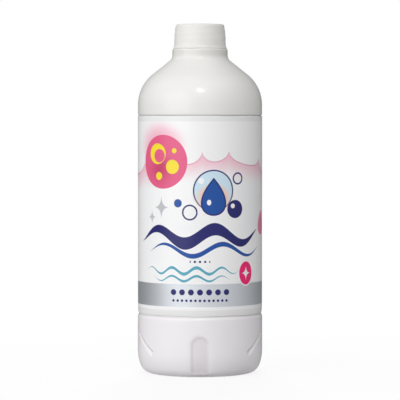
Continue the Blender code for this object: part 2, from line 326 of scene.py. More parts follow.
def helix_ridge(a, z, first_z, first_angle, turns, half_root, half_crest):
    """A thread ridge's height from 0 to 1 over angle and height.

    Its middle is at z = first_z + pitch turn / 2 pi. The flanks are straight, and both ends fade out.
    """
    behind = a - first_angle
    count = np.round((z - first_z) / PITCH - behind / (2 * pi))
    turn = behind + 2 * pi * count
    off = np.abs(z - first_z - PITCH * turn / (2 * pi))
    flank = np.clip((half_root - off) / (half_root - half_crest), 0, 1)
    fade = np.clip(np.minimum(turn, 2 * pi * turns - turn) / RUN_OUT, 0, 1)
    return smooth_step(flank) * smooth_step(fade)


def neck_half_width(radius):
    """Half the width of the neck's thread, from its foot on the neck to its crest."""
    share = (radius - NECK_RADIUS) / THREAD_DEPTH
    return (THREAD_FOOT + (THREAD_CREST - THREAD_FOOT) * share) / 2


# Bottle


def groove_run():
    """A groove's upper edge on the rolled-out base: how far it goes across and down, and its length."""
    span = BASE_RADIUS * radians(GROOVE_UPPER[0] - GROOVE_LOWER[0])
    drop = GROOVE_UPPER[1] - GROOVE_LOWER[1]
    return span, drop, hypot(span, drop)


def groove_depth(a, r, z):
    """Depth of the nearest finger groove under the base's surface.

    On the base rolled out flat, the groove's upper edge is a straight line. s is the distance below it,
    and t runs along it from 0 at the upper end to 1 at the lower end. The floor is a ramp that rises
    with s from a root whose depth grows with t. Depth is the smallest of: surface radius less the
    floor's radius, steepness x s, and steepness x the distance inside each end. All meet rounded.
    """
    folded = np.abs((a - FRONT + pi / 2) % pi - pi / 2)
    upper_angle, upper_height, upper_depth = GROOVE_UPPER
    span, drop, length = groove_run()
    across = BASE_RADIUS * (radians(upper_angle) - folded)
    fall = upper_height - z
    along = (across * span + fall * drop) / length
    s = (-across * drop + fall * span) / length
    t = along / length
    root = BASE_RADIUS - (upper_depth + (GROOVE_LOWER[2] - upper_depth) * np.clip(t, 0, 1))
    ramp = r - root - s * tan(radians(GROOVE_RAMP))
    depth = soft_min(ramp, s * GROOVE_WALL_STEEPNESS, GROOVE_EDGE_ROUND)
    inside = np.minimum(along, length - along)
    depth = soft_min(depth, inside * GROOVE_WALL_STEEPNESS, GROOVE_EDGE_ROUND)
    near = (z < PANEL_FOOT - GROOVE_ZONE) & (z > RECESS_FOOT) & (r > BASE_RADIUS - GROOVE_ZONE)
    return np.where(near, np.maximum(depth, 0), 0)


def recess_depth(a, r, z):
    """Depth of the arched recess under the base's surface.

    Its wall is a parabola: depth = full depth x (distance inside / wall's width)^2, at most the full
    depth, and faded at the foot.
    """
    azimuth = a - FRONT
    x = np.abs(r * np.sin(azimuth))
    spring = RECESS_TOP - RECESS_HALF_WIDTH
    inside = np.where(z < spring, RECESS_HALF_WIDTH - x, RECESS_HALF_WIDTH - np.hypot(x, z - spring))
    fade = smooth_step((z - RECESS_FOOT) / RECESS_FADE) * (z < PANEL_FOOT)
    return RECESS_DEPTH * np.clip(inside / RECESS_WALL, 0, 1) ** 2 * fade


def bottle_profile():
    """From the middle of the floor inside, up to the mouth, and down the outside to the middle underneath.

    The number that comes with the profile is how many of its points lie inside the mouth.
    """
    cavity = PANEL_RADIUS - WALL
    band = BASE_RADIUS - BASE_BAND_WALL
    neck_cavity = COLLAR_RADIUS - COLLAR_WALL
    corner = CORNER_LOWER_ARC
    step_top = BASE_BAND_TOP + BASE_BAND_SLOPE * (cavity - band)
    inner_arc = cavity - SHOULDER_CENTRE
    slope = radians(SHOULDER_TURN)
    slope_foot = (SHOULDER_CENTRE + inner_arc * cos(slope), SHOULDER_FOOT + inner_arc * sin(slope))
    rise = (slope_foot[0] - neck_cavity) * tan(radians(SHOULDER_SLOPE))
    inner_ledge = COLLAR_TOP - COLLAR_WALL
    mouth = RIM_ROUND
    inside = [
        dome(FOOT_INNER_RADIUS, BASE_WALL, PUNT_RISE, 5),
        line((FOOT_INNER_RADIUS, BASE_WALL), (band - corner, BASE_WALL), 1),
        arc((band - corner, BASE_WALL + corner), corner, -90, 0, 5),
        line((band, BASE_WALL + corner), (band, BASE_BAND_TOP), 1),
        line((band, BASE_BAND_TOP), (cavity, step_top), 1),
        line((cavity, step_top), (cavity, SHOULDER_FOOT), 2),
        arc((SHOULDER_CENTRE, SHOULDER_FOOT), inner_arc, 0, SHOULDER_TURN, 6),
        line(slope_foot, (neck_cavity, slope_foot[1] + rise), 2),
        line((neck_cavity, slope_foot[1] + rise), (neck_cavity, inner_ledge - COLLAR_WALL), 1),
        line((neck_cavity, inner_ledge - COLLAR_WALL), (BORE_RADIUS, inner_ledge), 1),
        line((BORE_RADIUS, inner_ledge), (BORE_RADIUS, RIM - mouth), 2),
        arc((BORE_RADIUS + mouth, RIM - mouth), mouth, 180, 90, 3),
        arc((NECK_RADIUS - mouth, RIM - mouth), mouth, 90, 0, 3),
    ]
    tangent = COLLAR_FILLET * tan(slope / 2)
    fillet = (COLLAR_RADIUS + COLLAR_FILLET, COLLAR_FOOT + tangent)
    fillet_end = (fillet[0] - COLLAR_FILLET * cos(slope), fillet[1] - COLLAR_FILLET * sin(slope))
    edge = COLLAR_RADIUS - COLLAR_ROUND
    neck_foot = NECK_FOOT_ROUND
    neck = [
        line((NECK_RADIUS, RIM - mouth), (NECK_RADIUS, COLLAR_BRIM + neck_foot), 38),
        arc((NECK_RADIUS + neck_foot, COLLAR_BRIM + neck_foot), neck_foot, 180, 270, 2),
        line((NECK_RADIUS + neck_foot, COLLAR_BRIM), (edge, COLLAR_BRIM), 2),
        arc((edge, COLLAR_BRIM - COLLAR_ROUND), COLLAR_ROUND, 90, 0, 6),
        line((COLLAR_RADIUS, COLLAR_BRIM - COLLAR_ROUND), (COLLAR_RADIUS, fillet[1]), 3),
        arc(fillet, COLLAR_FILLET, 180, 180 + SHOULDER_TURN, 7),
        line(fillet_end, (SLOPE_RADIUS, SLOPE_FOOT), 3),
        arc((SHOULDER_CENTRE, SHOULDER_FOOT), SHOULDER_ARC, SHOULDER_TURN, 0, 18),
    ]
    soft = PANEL_TOP_ROUND
    lift = radians(LEDGE_LEAN)
    ledge_middle = (BASE_RADIUS - LEDGE_ROUND, LEDGE_TOP - LEDGE_ROUND)
    ledge = (ledge_middle[0] + LEDGE_ROUND * cos(lift), ledge_middle[1] + LEDGE_ROUND * sin(lift))
    ledge_foot = (PANEL_RADIUS, ledge[1] + (ledge[0] - PANEL_RADIUS) / tan(lift))
    panel = [
        line((SIDE_RADIUS, SHOULDER_FOOT), (SIDE_RADIUS, PANEL_TOP + soft), 2),
        arc((SIDE_RADIUS - soft, PANEL_TOP + soft), soft, 0, -60, 3),
        line((SIDE_RADIUS - soft / 2, PANEL_TOP), (PANEL_RADIUS, PANEL_TOP - PANEL_TOP_EDGE), 2),
        line((PANEL_RADIUS, PANEL_TOP - PANEL_TOP_EDGE), ledge_foot, 3),
        line(ledge_foot, ledge, 3),
        arc(ledge_middle, LEDGE_ROUND, LEDGE_LEAN, 0, 6),
    ]
    lean = radians(CORNER_LEAN)
    upper_centre = BASE_RADIUS - CORNER_UPPER_ARC
    lower_centre = upper_centre + (CORNER_UPPER_ARC - CORNER_LOWER_ARC) * cos(lean)
    lip = FOOT_INNER_ROUND
    base = [
        line((BASE_RADIUS, ledge_middle[1]), (BASE_RADIUS, CLOSE_ROWS_TOP), 4),
        line((BASE_RADIUS, CLOSE_ROWS_TOP), (BASE_RADIUS, CORNER_TOP), 44),
        arc((upper_centre, CORNER_TOP), CORNER_UPPER_ARC, 0, -CORNER_LEAN, 28),
        arc((lower_centre, CORNER_LOWER_ARC), CORNER_LOWER_ARC, -CORNER_LEAN, -90, 14),
        line((lower_centre, 0), (FOOT_INNER_RADIUS + lip, 0), 2),
        arc((FOOT_INNER_RADIUS + lip, lip), lip, -90, -150, 3),
        dome(FOOT_INNER_RADIUS - PUNT_INSET, lip, PUNT_RISE - lip, 7)[::-1],
    ]
    profile = np.vstack(inside + neck + panel + base)
    profile[0, 0] = 0
    profile[-1, 0] = 0
    return profile, sum(len(part) for part in inside)


def make_bottle():
    """The blown bottle. Its thread, grooves and recesses are pushed out of or into one turned surface."""
    profile, mouth_row = bottle_profile()
    first_z = COLLAR_TOP + THREAD_START
    half_root = neck_half_width(NECK_RADIUS)
    half_crest = neck_half_width(NECK_RADIUS + THREAD_DEPTH)

    def inward(a, r, z):
        outside = np.arange(1, len(r) + 1)[:, None] > mouth_row
        neck = outside & (z > COLLAR_BRIM + NECK_FOOT_ROUND)
        base = outside & (z < PANEL_FOOT)
        ridge = helix_ridge(a, z, first_z, 0.0, NECK_TURNS, half_root, half_crest)
        cut = np.maximum(groove_depth(a, r, z), recess_depth(a, r, z))
        return np.where(base, cut, 0) - np.where(neck, ridge * THREAD_DEPTH, 0)

    groove_middle = radians((GROOVE_UPPER[0] + GROOVE_LOWER[0]) / 2)
    turns = (-groove_middle, groove_middle, pi - groove_middle, pi + groove_middle)
    places = [(FRONT + turn, *GROOVE_CROWD) for turn in turns]
    places += [(FRONT + turn, *RECESS_CROWD) for turn in (0, pi)]
    bottle = turned_mesh("bottle_skin", profile, crowded_angles(BOTTLE_COLUMNS, places), inward)
    bottle.data.materials.append(white_plastic())
    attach(bottle, "bottle")
    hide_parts("bottle")


# Cap


def bowed_side(foot):
    """The cap's side: r = side - (side - top) t^bow, with t from 1 under the rounded top to 0 at the foot."""
    t = 1 - np.arange(CAP_SIDE_ROWS) / CAP_SIDE_ROWS
    start = CAP_TOP - CAP_TOP_ROUND
    r = CAP_SIDE_RADIUS - (CAP_SIDE_RADIUS - CAP_TOP_RADIUS) * t**CAP_BOW
    return np.stack([r, foot + (start - foot) * t], 1)


def cap_profile():
    """From the middle of the top, down the outside, round the foot and up the inside to the ceiling."""
    bore = CAP_SIDE_RADIUS - CAP_WALL
    flange_top = SKIRT_FOOT + CAP_FLANGE_HEIGHT
    outer = CAP_SIDE_RADIUS + CAP_FLANGE
    top_edge = CAP_TOP_RADIUS - CAP_TOP_ROUND
    soft = CAP_FLANGE_ROUND
    return np.vstack(
        [
            line((0, CAP_TOP), (top_edge, CAP_TOP), 8),
            arc((top_edge, CAP_TOP - CAP_TOP_ROUND), CAP_TOP_ROUND, 90, 0, 12),
            bowed_side(flange_top + CAP_FLARE),
            line((CAP_SIDE_RADIUS, flange_top + CAP_FLARE), (outer - soft, flange_top + soft / 2), 3),
            arc((outer - soft, flange_top - soft / 2), soft, 60, 0, 3),
            line((outer, flange_top - soft / 2), (outer, SKIRT_FOOT + soft), 2),
            arc((outer - soft, SKIRT_FOOT + soft), soft, 0, -90, 3),
            line((outer - soft, SKIRT_FOOT), (bore + soft, SKIRT_FOOT), 2),
            arc((bore + soft, SKIRT_FOOT + soft), soft, -90, -180, 3),
            line((bore, SKIRT_FOOT + soft), (bore, CAP_CEILING), 44),
            line((bore, CAP_CEILING), (0, CAP_CEILING), 3),
            np.array([[0, CAP_CEILING]]),
        ]
    )


def make_cap():
    """The moulded cap. The thread inside leaves faint sink marks along its helix on the outside."""
    bore = CAP_SIDE_RADIUS - CAP_WALL
    crest = NECK_RADIUS + THREAD_RADIAL_GAP
    room = PITCH / 2 - THREAD_AXIAL_GAP
    half_root = room - neck_half_width(NECK_RADIUS + THREAD_DEPTH)
    half_crest = room - neck_half_width(crest)
    lag = NECK_TURNS - CAP_TURNS
    first_z = COLLAR_TOP + THREAD_START + PITCH * (lag - 0.5)

    def inward(a, r, z):
        inside = (r < bore + TOUCH) & (r > bore - TOUCH) & (z < CAP_CEILING - CAP_HEADROOM)
        ridge = helix_ridge(a, z, first_z, 2 * pi * lag, CAP_TURNS, half_root, half_crest)
        side = (r > CAP_TOP_RADIUS - CAP_SINK_INSET) & (z > SKIRT_FOOT + CAP_SINK_START)
        wave = 0.5 - 0.5 * np.cos(2 * pi * (z - first_z) / PITCH - a)
        sink = CAP_SINK * wave * smooth_step((z - SKIRT_FOOT - CAP_SINK_START) / CAP_SINK_FADE)
        return np.where(side, sink, 0) - np.where(inside, ridge * (bore - crest), 0)

    cap = turned_mesh("cap_shell", cap_profile(), even_angles(CAP_COLUMNS), inward)
    cap.data.materials.append(cap_plastic())
    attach(cap, "cap")
    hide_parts("screw_cap")


# Sleeve


def make_sleeve():
    """The shrink film: a thin ring with rounded ends, faint shrink ripples and a seam at the back.

    Ripple in r = FILM_RIPPLE (sin(5 a + z / 13) sin(3 a - z / 21) - 1), and in z at both ends
    FILM_END_WAVE (sin(7 a) - 1), away from the middle. Towards its foot the film draws in onto the
    bottle's panel.
    """
    low, high = FILM_FOOT, FILM_TOP
    inner = FILM_INNER_RADIUS
    outer = FILM_RADIUS
    curl = FILM_CURL
    middle = (low + high) / 2
    profile = np.vstack(
        [
            arc((outer - curl, high - curl), curl, 90, 0, 5),
            line((outer, high - curl), (outer, low + curl), 60),
            arc((outer - curl, low + curl), curl, 0, -90, 5),
            line((outer - curl, low), (inner, low), 1),
            line((inner, low), (inner, high), 40),
            line((inner, high), (outer - curl, high), 1),
        ]
    )

    def shift(a, r, z):
        ripple = FILM_RIPPLE * np.sin(5 * a + z / 13) * np.sin(3 * a - z / 21) - FILM_RIPPLE
        end = smooth_step(np.maximum(low + FILM_END - z, z - high + FILM_END) / FILM_END)
        tuck = smooth_step((low + FOOT_TUCK_HEIGHT - z) / FOOT_TUCK_HEIGHT)
        seam = SEAM_RISE * smooth_step(1 - np.abs((a - pi / 2) * outer) / SEAM_WIDTH)
        outside = r > inner + FILM_SIDE
        away = np.sign(z - middle)
        rise = FILM_END_WAVE * np.sin(7 * a) * end * away - FILM_END_WAVE * end * away
        outer_shift = ripple - FILM_DRAWN_IN + seam - FOOT_TUCK * tuck
        return np.where(outside, outer_shift, -FOOT_TUCK_INSIDE * tuck), rise

    sleeve = ring_mesh("sleeve", profile, even_angles(FILM_COLUMNS), shift)
    sleeve.data.materials.append(printed_film())
    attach(sleeve, "bottle")
    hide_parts("label")


# Colours


def linear(red, green, blue):
    """An sRGB colour, each channel from 0 to 255, as the linear colour that a shader takes."""
    share = np.array([red, green, blue]) / 255
    low = share / 12.92
    high = ((share + 0.055) / 1.055) ** 2.4
    return (*np.where(share <= 0.04045, low, high).tolist(), 1.0)


BOTTLE_WHITE = linear(242, 241, 239)
BOTTLE_SHADE = linear(239, 238, 235)
# Painted shade on the collar below the cap
COLLAR_PAINTED_SHADE = linear(230, 228, 222)
# Faint pink tint of the base, lighter than the body; over the ledge it is a painted highlight
BASE_TINT_AND_LEDGE_HIGHLIGHT = linear(250, 246, 250)
# Painted shade in the recesses
RECESS_PAINTED_SHADE = linear(236, 231, 234)
# Painted highlight on the grooves' ramps
RAMP_PAINTED_HIGHLIGHT = linear(255, 253, 255)
# Painted shade line under the grooves' edges
GROOVE_LINE_PAINTED_SHADE = linear(156, 152, 156)
CAP_WHITE = linear(243, 242, 238)
CAP_SHADE = linear(238, 236, 231)
FOAM = linear(236, 236, 232)
FOAM_SHADE = linear(222, 222, 217)
SOAP = linear(244, 178, 196)
SOAP_SHADE = linear(240, 166, 188)
FILM_SHADE = linear(250, 251, 252)
WHITE = linear(254, 254, 255)
CLEAR = linear(242, 242, 242)
PINK = linear(250, 192, 210)
PINK_LINE = linear(226, 140, 172)
ROSE = linear(234, 92, 138)
DEEP_ROSE = linear(205, 62, 108)
YELLOW = linear(255, 228, 40)
NAVY = linear(8, 6, 104)
BLUE = linear(0, 76, 162)
PALE_BLUE = linear(212, 236, 250)
TEAL = linear(84, 172, 194)
MAGENTA = linear(246, 4, 116)
SILVER = linear(206, 210, 215)
GREY = linear(196, 198, 202)
PEACH = linear(252, 206, 178)
SOFT_ROSE = linear(238, 140, 172)


# Shader nodes


def put(socket, value):
    """Links an output to an input, or sets the input's own value."""
    if isinstance(value, bpy.types.NodeSocket):
        socket.id_data.links.new(value, socket)
    else:
        socket.default_value = value


def new_node(tree, kind, *values, operation=None):
    """A new node with its first inputs set or linked in order. It gives its outputs."""
    node = tree.nodes.new("ShaderNode" + kind)
    if operation:
        node.operation = operation
    for socket, value in zip(node.inputs, values):
        put(socket, value)
    return node.outputs


def mixed(tree, share, first, second):
    """One colour or value turning into another as the share goes from 0 to 1."""
    node = tree.nodes.new("ShaderNodeMix")
    single = isinstance(second, float)
    node.data_type = "FLOAT" if single else "RGBA"
    kind = "VALUE" if single else "RGBA"
    by_name = {socket.name: socket for socket in node.inputs if socket.type == kind}
    put(next(socket for socket in node.inputs if socket.name == "Factor" and socket.type == "VALUE"), share)
    put(by_name["A"], first)
    put(by_name["B"], second)
    return next(socket for socket in node.outputs if socket.type == kind)


def faded(tree, value, low, high):
    """Smooth step of a value from low, where it is 0, to high, where it is 1."""
    result = new_node(tree, "MapRange", value, low, high)["Result"]
    result.node.interpolation_type = "SMOOTHSTEP"
    return result


def arithmetic(operation):
    """A function that adds one step of that arithmetic, whose values are numbers or outputs."""
    return lambda tree, *values: new_node(tree, "Math", *values, operation=operation)[0]


plus = arithmetic("ADD")
minus = arithmetic("SUBTRACT")
times = arithmetic("MULTIPLY")
times_plus = arithmetic("MULTIPLY_ADD")
divided = arithmetic("DIVIDE")
smaller = arithmetic("MINIMUM")
larger = arithmetic("MAXIMUM")
absolute = arithmetic("ABSOLUTE")
square_root = arithmetic("SQRT")
sine = arithmetic("SINE")
pingpong = arithmetic("PINGPONG")
angle_of = arithmetic("ARCTAN2")


def hypotenuse(tree, x, y):
    """sqrt(x^2 + y^2)"""
    return square_root(tree, plus(tree, times(tree, x, x), times(tree, y, y)))


def noise(tree, vector, scale, detail=2.0):
    """Noise from 0 to 1, at a scale in 1/m."""
    node = tree.nodes.new("ShaderNodeTexNoise")
    put(node.inputs["Vector"], vector)
    put(node.inputs["Scale"], scale)
    put(node.inputs["Detail"], detail)
    return node.outputs["Fac"]


def object_place(tree):
    """The place on the object, in metres from its origin."""
    return new_node(tree, "TexCoord")["Object"]


def new_group(name, inputs, outputs):
    """A shader node group and the sockets inside it. An input is a number or a colour by its value."""
    group = bpy.data.node_groups.new(name, "ShaderNodeTree")
    for label, value in inputs.items():
        kind = "NodeSocketFloat" if isinstance(value, float) else "NodeSocketColor"
        group.interface.new_socket(label, in_out="INPUT", socket_type=kind).default_value = value
    for label, kind in outputs.items():
        group.interface.new_socket(label, in_out="OUTPUT", socket_type="NodeSocket" + kind)
    return group, group.nodes.new("NodeGroupInput").outputs, group.nodes.new("NodeGroupOutput").inputs


def use_group(tree, group, **values):
    """Puts a group to use with its inputs set or linked, and gives its outputs."""
    node = tree.nodes.new("ShaderNodeGroup")
    node.node_tree = group
    for label, value in values.items():
        put(node.inputs[label], value)
    return node.outputs


# Moulded surface: scales of its noise in 1/m, the coarse share of its peel, and depths in m
DRIFT_SCALE = 28.0
DRIFT_FADE = (0.35, 0.75)
FINE_SCALE = 900.0
PEEL_SCALE = 420.0
PEEL_SHARE = 0.75
PEEL_HEIGHT = 0.00012
GLOSS_SPREAD = 0.1
COAT_ROUGHNESS = 0.15
GLOW_DEPTH = 0.0015


def moulded_skin():
    """Moulded plastic: a colour that drifts a little, uneven gloss, and a fine orange peel."""
    inputs = {"Colour": WHITE, "Shade": FILM_SHADE, "Gloss": 0.35, "Peel": 0.1}
    outputs = {"Colour": "Color", "Roughness": "Float", "Normal": "Vector"}
    group, given, made = new_group("moulded_skin", inputs, outputs)
    place = object_place(group)
    drift = faded(group, noise(group, place, DRIFT_SCALE), *DRIFT_FADE)
    put(made["Colour"], mixed(group, drift, given["Colour"], given["Shade"]))
    fine = noise(group, place, FINE_SCALE, 3.0)
    spread = times_plus(group, fine, GLOSS_SPREAD, -GLOSS_SPREAD / 2)
    put(made["Roughness"], plus(group, given["Gloss"], spread))
    coarse = noise(group, place, PEEL_SCALE, 1.0)
    fine_part = times(group, fine, 1 - PEEL_SHARE)
    peel = times_plus(group, coarse, PEEL_SHARE, fine_part)
    bump = group.nodes.new("ShaderNodeBump")
    put(bump.inputs["Distance"], PEEL_HEIGHT)
    put(bump.inputs["Strength"], given["Peel"])
    put(bump.inputs["Height"], peel)
    put(made["Normal"], bump.outputs[0])
    return group


def new_material(name):
    """A new material, its node tree and its Principled BSDF."""
    material = bpy.data.materials.new(name)
    material.use_nodes = True
    tree = material.node_tree
    return material, tree, tree.nodes["Principled BSDF"]


def skin_material(name, colour, shade, gloss, peel, coat=0.0):
    """A moulded plastic: colour, the shade it drifts to, roughness, strength of the peel, and coat."""
    material, tree, shader = new_material(name)
    skin = use_group(tree, SKIN, Colour=colour, Shade=shade, Gloss=gloss, Peel=peel)
    for label, output in (("Base Color", "Colour"), ("Roughness", "Roughness"), ("Normal", "Normal")):
        put(shader.inputs[label], skin[output])
    put(shader.inputs["Coat Weight"], coat)
    put(shader.inputs["Coat Roughness"], COAT_ROUGHNESS)
    return material, shader


def let_light_in(shader, share, reach):
    """Light that goes a little way into the plastic: its share, and how far each colour goes."""
    put(shader.inputs["Subsurface Weight"], share)
    put(shader.inputs["Subsurface Radius"], reach)
    put(shader.inputs["Subsurface Scale"], GLOW_DEPTH)


# A groove's painted light, in mm: where the painted highlight on its ramp starts, and the painted shade
# line's place, half width and fade
RAMP_START = 0.35
RAMP_FADE = 0.4
LINE_PLACE = 0.12
LINE_HALF = 0.75
LINE_FADE = 0.6
LINE_ENDS = (-0.5, 0.3)
SHADE_LINE_STRENGTH = 0.8


def groove_painted_light():
    """Masks of a groove's painted light: a painted shade line under its straight upper edge, and a painted
    highlight on the ramp below that.

    The places along the edge and below it are those of groove_depth. The ramp's width is its depth
    over the tangent of its angle.
    """
    outputs = {"Line": "Float", "PaintedHighlight": "Float"}
    group, given, made = new_group("groove_painted_light", {"Across": 0.0, "Up": 0.0}, outputs)
    upper_angle, upper_height, upper_depth = GROOVE_UPPER
    span, drop, length = groove_run()
    folded = pingpong(group, given["Across"], QUARTER_ROUND)
    across = minus(group, BASE_RADIUS * radians(upper_angle), folded)
    fall = minus(group, upper_height, given["Up"])
    along = times(group, fall, drop / length)
    along = times_plus(group, across, span / length, along)
    below = times(group, fall, span / length)
    below = times_plus(group, across, -drop / length, below)
    inside = smaller(group, along, minus(group, length, along))
    width = times_plus(group, along, (GROOVE_LOWER[2] - upper_depth) / length, upper_depth)
    width = divided(group, width, tan(radians(GROOVE_RAMP)))
    past_start = minus(group, below, RAMP_START)
    ramp = smaller(group, past_start, minus(group, width, below))
    put(made["PaintedHighlight"], faded(group, smaller(group, ramp, inside), 0.0, RAMP_FADE))
    from_line = absolute(group, minus(group, below, LINE_PLACE))
    shade_line_share = faded(group, minus(group, LINE_HALF, from_line), 0.0, LINE_FADE)
    put(made["Line"], times(group, shade_line_share, faded(group, inside, *LINE_ENDS)))
    return group


# Where the collar's painted shade, the base's tint with its painted ledge highlight, and the recesses'
# painted shade begin and end: heights in mm, and radii under the base
COLLAR_SHADE_TOP = (COLLAR_BRIM - 0.5, COLLAR_BRIM - 1.2)
COLLAR_SHADE_FOOT = (COLLAR_FOOT, COLLAR_FOOT + 2.5)
BASE_TINT_AND_LEDGE_HIGHLIGHT_TOP = (PANEL_FOOT + 1.5, PANEL_FOOT + 0.2)
RECESS_SHADE_RADII = (FOOT_INNER_RADIUS + 4, FOOT_INNER_RADIUS + 6)
RECESS_SHADE_SOFT = 0.8


def white_plastic():
    """White, with a darker, warmer band on the collar: painted shade below the cap, which leaves the rim's
    top edge as a painted highlight line.
    The thick base has a faint pink tint, lighter than the body, and its top edge paints a highlight on the
    ledge. The recesses are darkened with painted shade, the grooves' ramps lightened with a painted
    highlight, and a painted shade line lies under each groove's edge."""
    material, shader = skin_material(
        "white_polyethylene", BOTTLE_WHITE, BOTTLE_SHADE, gloss=0.5, peel=0.2, coat=0.6
    )
    tree = material.node_tree
    place = use_group(tree, PLACE)
    up = place["Up"]
    colour = shader.inputs["Base Color"].links[0].from_socket
    # Painted shade: a darker, warmer band on the collar below the cap, which leaves the rim's top edge
    # lighter as a painted highlight line
    collar_shade = smaller(tree, faded(tree, up, *COLLAR_SHADE_FOOT), faded(tree, up, *COLLAR_SHADE_TOP))
    colour = mixed(tree, collar_shade, colour, COLLAR_PAINTED_SHADE)
    # Faint pink tint of the base, lighter than the body, whose top edge paints a highlight on the ledge
    colour = mixed(tree, faded(tree, up, *BASE_TINT_AND_LEDGE_HIGHLIGHT_TOP), colour, BASE_TINT_AND_LEDGE_HIGHLIGHT)
    # Painted shade in the arched recesses, on the outside only
    from_front = pingpong(tree, place["Across"], QUARTER_ROUND)
    spring = RECESS_TOP - RECESS_HALF_WIDTH
    half = RECESS_HALF_WIDTH - RECESS_WALL / 2
    folded = {"Across": from_front, "Up": up}
    arch = motif_mask(tree, folded, "arch", (0, spring), Half=half, Soft=RECESS_SHADE_SOFT)
    outside = faded(tree, place["Out"], *RECESS_SHADE_RADII)
    colour = mixed(tree, times(tree, arch, outside), colour, RECESS_PAINTED_SHADE)
    # Painted highlight on the grooves' ramps, and a painted shade line under each groove's upper edge
    groove = use_group(tree, groove_painted_light(), Across=place["Across"], Up=up)
    colour = mixed(tree, groove["PaintedHighlight"], colour, RAMP_PAINTED_HIGHLIGHT)
    colour = mixed(tree, times(tree, groove["Line"], SHADE_LINE_STRENGTH), colour, GROOVE_LINE_PAINTED_SHADE)
    put(shader.inputs["Base Color"], colour)
    let_light_in(shader, 0.15, (1.0, 0.95, 0.9))
    return material


def cap_plastic():
    """Off-white, a little glossier than the bottle."""
    material, shader = skin_material("white_polypropylene", CAP_WHITE, CAP_SHADE, gloss=0.42, peel=0.3)
    let_light_in(shader, 0.1, (1.0, 0.98, 0.94))
    return material


def foam_wad():
    """Matt white foam."""
    return skin_material("foam_wad", FOAM, FOAM_SHADE, gloss=0.85, peel=1.0)[0]


def soap():
    """Pink and glossy."""
    return skin_material("pink_soap", SOAP, SOAP_SHADE, gloss=0.12, peel=0.05, coat=0.4)[0]


# Print


def rolled_out_place():
    """Place on the body in millimetres: Across is arc length from the front's middle, Up is height, and Out
    is the distance from the axis."""
    group, _, made = new_group("rolled_out_place", {}, dict.fromkeys(("Across", "Up", "Out"), "Float"))
    x, y, z = new_node(group, "SeparateXYZ", object_place(group))
    put(made["Across"], times(group, angle_of(group, x, times(group, y, -1.0)), FILM_RADIUS))
    put(made["Up"], times(group, z, 1 / MM))
    put(made["Out"], times(group, hypotenuse(group, x, y), 1 / MM))
    return group


def mask_group(name, sizes, formula):
    """A motif's mask: formula(group, x, y, given) is a distance in mm, positive inside the motif."""
    inputs = dict.fromkeys(("Across", "Up", "X", "Y"), 0.0)
    inputs |= dict.fromkeys(sizes, 1.0)
    inputs["Soft"] = EDGE_SOFTNESS
    group, given, made = new_group(name, inputs, {"Mask": "Float"})
    x = minus(group, given["Across"], given["X"])
    y = minus(group, given["Up"], given["Y"])
    inside = formula(group, x, y, given)
    put(made["Mask"], faded(group, inside, times(group, given["Soft"], -1.0), given["Soft"]))
    return group


def disc_distance(tree, x, y, given):
    """Radius less the distance from the middle, with x divided by the oval's stretch."""
    x = divided(tree, x, given["Stretch"])
    return minus(tree, given["Radius"], hypotenuse(tree, x, y))


def ring_distance(tree, x, y, given):
    """Half the line's width less how far the point is off the circle."""
    off = absolute(tree, minus(tree, hypotenuse(tree, x, y), given["Radius"]))
    return minus(tree, times(tree, given["Width"], 0.5), off)


def sparkle_distance(tree, x, y, given):
    """A four-point sparkle: size less (sqrt |x| + sqrt |y|)^2, with y divided by the stretch."""
    y = divided(tree, y, given["Stretch"])
    root_x = square_root(tree, absolute(tree, x))
    root_y = square_root(tree, absolute(tree, y))
    total = plus(tree, root_x, root_y)
    return minus(tree, given["Size"], times(tree, total, total))


def drop_distance(tree, x, y, given):
    """A drop with its tip up. With t = y / height from -1 to 1, its half width is
    plumpness x radius sqrt(1 - t^2) sqrt((1 - t) / 2)."""
    t = divided(tree, y, given["Height"])
    t = smaller(tree, larger(tree, t, -1.0), 1.0)
    round_part = minus(tree, 1.0, times(tree, t, t))
    tip_part = times_plus(tree, t, -0.5, 0.5)
    width = square_root(tree, times(tree, round_part, tip_part))
    width = times(tree, width, times(tree, given["Radius"], DROP_PLUMPNESS))
    inside = minus(tree, width, absolute(tree, x))
    below_tip = minus(tree, given["Height"], absolute(tree, y))
    return smaller(tree, inside, below_tip)


def wave_distance(tree, x, y, given):
    """A ribbon round y = rise sin(2 pi x / length). Its width narrows to nothing at +reach and -reach."""
    angle = divided(tree, times(tree, x, 2 * pi), given["Length"])
    middle = times(tree, sine(tree, angle), given["Rise"])
    share = divided(tree, x, given["Reach"])
    taper = minus(tree, 1.0, times(tree, share, share))
    half = times(tree, times(tree, given["Width"], 0.5), taper)
    return minus(tree, half, absolute(tree, minus(tree, y, middle)))


def foam_distance(tree, x, y, given):
    """Above a scalloped edge that hangs down in round lobes.

    With p the point's place across its lobe from -1 to 1, the edge is -drop sqrt(1 - p^2). The lobes
    are stretched and squeezed by warping x first: x + warp sin(x / its length), and the whole edge
    rises and falls by swell sin(x / its length + 1). FAR keeps the number of lobes above 0.
    """
    warp = sine(tree, divided(tree, x, FOAM_WARP_LENGTH))
    warped = times_plus(tree, warp, FOAM_WARP, x)
    swell = sine(tree, times_plus(tree, x, 1 / FOAM_SWELL_LENGTH, 1.0))
    y = times_plus(tree, swell, -FOAM_SWELL, y)
    half = times(tree, given["Lobe"], 0.5)
    across = pingpong(tree, plus(tree, warped, FAR), half)
    across = divided(tree, across, half)
    square = times(tree, across, across)
    edge = square_root(tree, minus(tree, 1.0, square))
    return plus(tree, y, times(tree, edge, given["Drop"]))


def band_distance(tree, x, y, given):
    """Half the height less how far the point is above or below the middle."""
    half = times(tree, given["Height"], 0.5)
    return minus(tree, half, absolute(tree, y))


